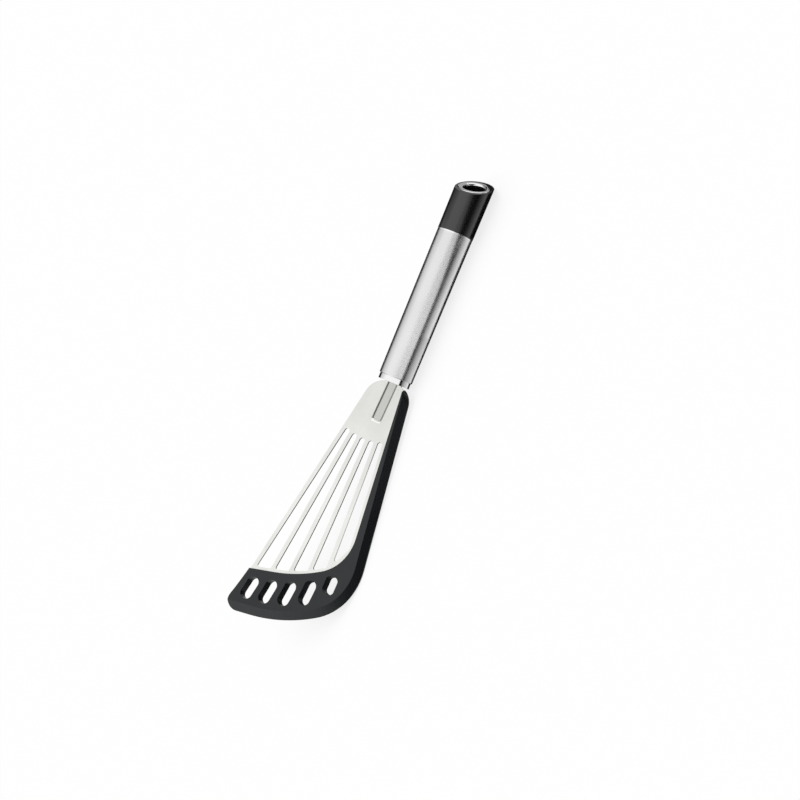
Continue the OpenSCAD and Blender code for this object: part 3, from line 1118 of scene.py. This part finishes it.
@dataclass(frozen=True)
class ShotCamera:
    """Camera at the photograph's place, found from the handle's neck in the picture."""

    picture_px: float = 800.0
    focal_px: float = 1500.0
    neck_px: tuple[float, float] = (393.45, 383.3)
    neck_mm_per_px: float = 0.694
    handle_lean: float = 22.5
    face_turn: float = 30.0
    sensor_mm: float = 36.0
    clip: tuple[float, float] = (0.05, 50.0)

    def build(self) -> None:
        """Place the camera and make it the scene's own."""
        data = bpy.data.cameras.new("shot_camera")
        data.sensor_width = self.sensor_mm
        data.lens = self.focal_px * self.sensor_mm / self.picture_px
        data.clip_start, data.clip_end = self.clip
        camera = bpy.data.objects.new("shot_camera", data)
        camera.matrix_world = self.place()
        bpy.context.scene.collection.objects.link(camera)
        bpy.context.scene.camera = camera
        LOG.info("camera at %s", tuple(round(x, 4) for x in camera.location))

    def place(self) -> Matrix:
        """Work out the camera's place from where it sees the neck and the handle.

        Returns:
            The camera's matrix in the part's frame, in metres.
        """
        middle = self.picture_px / 2
        ray = Vector([(p - middle) / self.focal_px for p in self.neck_px] + [1.0])
        neck = ray * self.neck_mm_per_px * self.focal_px
        ray.normalize()
        lean, turn = math.radians(self.handle_lean), math.radians(self.face_turn)
        along = Vector((math.sin(lean), -math.cos(lean), 0.0))
        along = (along - ray * along.dot(ray)).normalized()
        towards = -ray
        side = along.cross(towards)
        food = math.cos(turn) * towards - math.sin(turn) * side
        soft = math.cos(turn) * side + math.sin(turn) * towards
        to_neck = Matrix((along, -soft, food))
        to_part = REST.neck().to_3x3() @ to_neck
        # The picture's y runs down and its depth away from the camera, Blender's don't
        axes = to_part @ Matrix.Diagonal((1, -1, -1))
        here = REST.neck() @ (to_neck @ -neck)
        return Matrix.Translation(here * MM) @ axes.to_4x4()


class FadeAxis(Enum):
    """Axes along which a card can fade."""

    Y = "Y"
    Z = "Z"


@dataclass(frozen=True)
class Fade:
    """How a card brightens to another level at its far end, over a share of its size."""

    axis: FadeAxis
    share: float
    power: float
    end: float = 1.0


@dataclass(frozen=True)
class Card:
    """Card that only reflections see: nearly black, unless it has another level."""

    name: str
    centre: Triple
    half_u: Triple
    half_v: Triple
    level: float = 0.012
    fade: Fade | None = None

    def place(self) -> Matrix:
        """Work out the matrix that lays a square of half width 1 where the card is.

        Returns:
            The matrix.
        """
        u, v = Vector(self.half_u), Vector(self.half_v)
        skew = Matrix((u, v, u.cross(v))).transposed()
        return Matrix.Translation(self.centre) @ skew.to_4x4()

    def material(self) -> Material:
        """Make the card's material, which says how bright each place looks.

        Returns:
            The material. It is no lamp, as its light is only there to be mirrored.
        """
        made = empty_material(self.name)
        made.cycles.emission_sampling = "NONE"
        tree = made.node_tree
        light = add_node(tree, "ShaderNodeEmission", values={"Strength": self.level})
        if self.fade:
            place = add_node(tree, "ShaderNodeTexCoord").outputs["Generated"]
            axes = add_node(tree, "ShaderNodeSeparateXYZ", {0: place})
            share = add_node(tree, "ShaderNodeMapRange",
                             {"Value": axes.outputs[self.fade.axis.value]},
                             {"From Min": 1.0 - self.fade.share})
            curve = add_node(tree, "ShaderNodeMath", {0: share.outputs[0]},
                             {1: self.fade.power}, operation="POWER")
            spread = add_node(tree, "ShaderNodeMapRange", {"Value": curve.outputs[0]},
                              {"To Min": self.level, "To Max": self.fade.end})
            tree.links.new(spread.outputs[0], light.inputs["Strength"])
        add_node(tree, "ShaderNodeOutputMaterial", {"Surface": light.outputs[0]})
        return made


# Cards round the turner, in metres. Four lie low under it and by the eye: painted shade of
# its contact with the table, which only reflections see. Three near ones and the rising one
# are the dark room low down in front, and the next three the room beside the blade and
# behind. The far one is the dark room to the front right. Of the three panels overhead, two
# are a little brighter than the room and one a little dimmer, which gives slots, holes and
# front bevel their own tones.
CARDS = (
    # Painted shade under the turner and by its eye, seen only in reflections
    Card("card_under_blade", (-0.081, 0.003, 0.0003), (0.085, 0, 0), (0, 0.033, 0),
         level=0.08),
    Card("card_under_handle", (0.096, 0.0635, 0.0003), (0.082, -0.0022, 0),
         (0, 0.0723, 0)),
    Card("card_under_cap", (0.155, 0.0, 0.0004), (0.026, 0, 0), (0, 0.0135, 0)),
    Card("card_by_eye", (0.218, 0.04, 0.0003), (0.04, 0, 0), (0, 0.06, 0), level=0.4),
    Card("card_near_neck", (-0.0425, -0.0545, 0.003), (0.0975, 0, 0),
         (0, 0.0455, -0.0025), fade=Fade(FadeAxis.Y, 0.33, 1.3, 0.75)),
    Card("card_near_tube", (0.0925, -0.0613, 0.003), (0.0375, 0, 0),
         (0, 0.0523, -0.0025), fade=Fade(FadeAxis.Y, 0.41, 2.0, 0.95)),
    Card("card_near_cap", (0.205, -0.0645, 0.011), (0.075, 0, 0),
         (0, 0.0515, -0.0105), fade=Fade(FadeAxis.Y, 0.4, 3.0)),
    Card("card_rising", (0.14, -0.117, -0.028), (0.06, 0, 0.06), (0, 0, 0.08),
         level=0.03),
    Card("card_beside_blade", (-0.215, -0.3, 0.13), (0.185, 0, 0), (0, 0, 0.13),
         level=0.12),
    Card("card_back", (0.05, 0.135, 0.21), (0.35, 0, 0), (0, 0, 0.21),
         fade=Fade(FadeAxis.Z, 0.81, 0.18, 0.97)),
    Card("card_back_cap", (0.29, 0.13, 0.21), (0.136, 0, 0), (0, 0, 0.21),
         fade=Fade(FadeAxis.Z, 0.87, 0.6, 0.85)),
    Card("card_far", (2.95, -5.0, 2.5), (2.1, 0, 0), (0.25, 0, 2.5)),
    Card("panel_over_slots", (-0.1, 0.05, 0.4), (0.08, 0, 0), (0, 0.25, 0), level=1.2),
    Card("panel_over_holes", (-0.245, 0.05, 0.4), (0.065, 0, 0), (0, 0.25, 0), level=0.8),
    Card("panel_over_front", (-1.0, 0.0, 1.2), (0.4, 0, 0), (0, 0.5, 0), level=1.6),
)


def stage_sheet(name: str, place: Matrix, material: Material) -> Object:
    """Make a flat sheet of the stage.

    Args:
        name: Name of the sheet.
        place: Matrix that lays a square of half width 1 where the sheet is.
        material: Its material.

    Returns:
        The sheet.
    """
    shape = bmesh.new()
    bmesh.ops.create_grid(shape, x_segments=1, y_segments=1, size=1.0, matrix=place)
    sheet = mesh_object(shape, name)
    sheet.data.materials.append(material)
    return sheet


@dataclass
class Studio:
    """Pale floor, even light, and the dark cards that give the steel its lines."""

    floor_half: float = 8.0
    floor_albedo: str = "#7D7D7D"
    floor_glow: float = 0.8
    fill: float = 0.4
    lamp_irradiance: float = 1.9
    lamp_spread: float = 75.0
    lamp_tilt: tuple[float, float] = (-18.0, -16.0)

    def build_world(self) -> None:
        """Make it white all round for camera and reflections, dimmer as a light."""
        world = bpy.data.worlds.new("studio")
        bpy.context.scene.world = world
        world.use_nodes = True
        tree = world.node_tree
        tree.nodes.clear()
        strength = add_node(tree, "ShaderNodeMapRange",
                            {"Value": seen_directly(tree)}, {"To Min": self.fill})
        sky = add_node(tree, "ShaderNodeBackground", {"Strength": strength.outputs[0]},
                       {"Color": linear(WHITE)})
        add_node(tree, "ShaderNodeOutputWorld", {"Surface": sky.outputs[0]})

    def build_lamp(self) -> None:
        """Hang one broad, soft lamp overhead."""
        data = bpy.data.lights.new("overhead", "SUN")
        data.energy = self.lamp_irradiance
        data.angle = math.radians(self.lamp_spread)
        lamp = bpy.data.objects.new("overhead", data)
        lamp.rotation_euler = [math.radians(a) for a in (*self.lamp_tilt, 0.0)]
        lamp.visible_glossy = False
        bpy.context.scene.collection.objects.link(lamp)

    def build_floor(self) -> None:
        """Lay a white floor that keeps the turner's soft shadow and is no lamp itself."""
        material = empty_material("floor_paper")
        material.cycles.emission_sampling = "NONE"
        tree = material.node_tree
        glow = add_node(tree, "ShaderNodeMath", {0: seen_directly(tree)},
                        {1: self.floor_glow}, operation="MULTIPLY")
        paper = add_node(tree, "ShaderNodeBsdfDiffuse",
                         values={"Color": linear(self.floor_albedo)})
        light = add_node(tree, "ShaderNodeEmission", {"Strength": glow.outputs[0]},
                         {"Color": linear(WHITE)})
        both = add_node(tree, "ShaderNodeAddShader",
                        {0: paper.outputs[0], 1: light.outputs[0]})
        add_node(tree, "ShaderNodeOutputMaterial", {"Surface": both.outputs[0]})
        stage_sheet("floor", Matrix.Scale(self.floor_half, 4), material)

    def build_cards(self) -> None:
        """Stand the cards, which are seen only in reflections."""
        for card in CARDS:
            sheet = stage_sheet(card.name, card.place(), card.material())
            sheet.visible_camera = sheet.visible_diffuse = sheet.visible_shadow = False

    def build(self) -> None:
        """Make the stage and its light."""
        self.build_world()
        self.build_lamp()
        self.build_floor()
        self.build_cards()
        bpy.context.scene.view_settings.view_transform = "Standard"


def main() -> None:
    """Build camera, sub-assemblies and studio in turn, and report each piece."""
    logging.basicConfig(level=logging.INFO, format="%(name)s: %(message)s")
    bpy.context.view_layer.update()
    ShotCamera().build()
    for assembly in (Blade(), Grip(), HangingEnd()):
        for piece in assembly.build():
            LOG.info("%s: %s, %d faces, %s", type(assembly).__name__, piece.name,
                     len(piece.data.polygons), piece.material_slots[0].material.name)
    Studio().build()


if __name__ == "__main__":
    main()
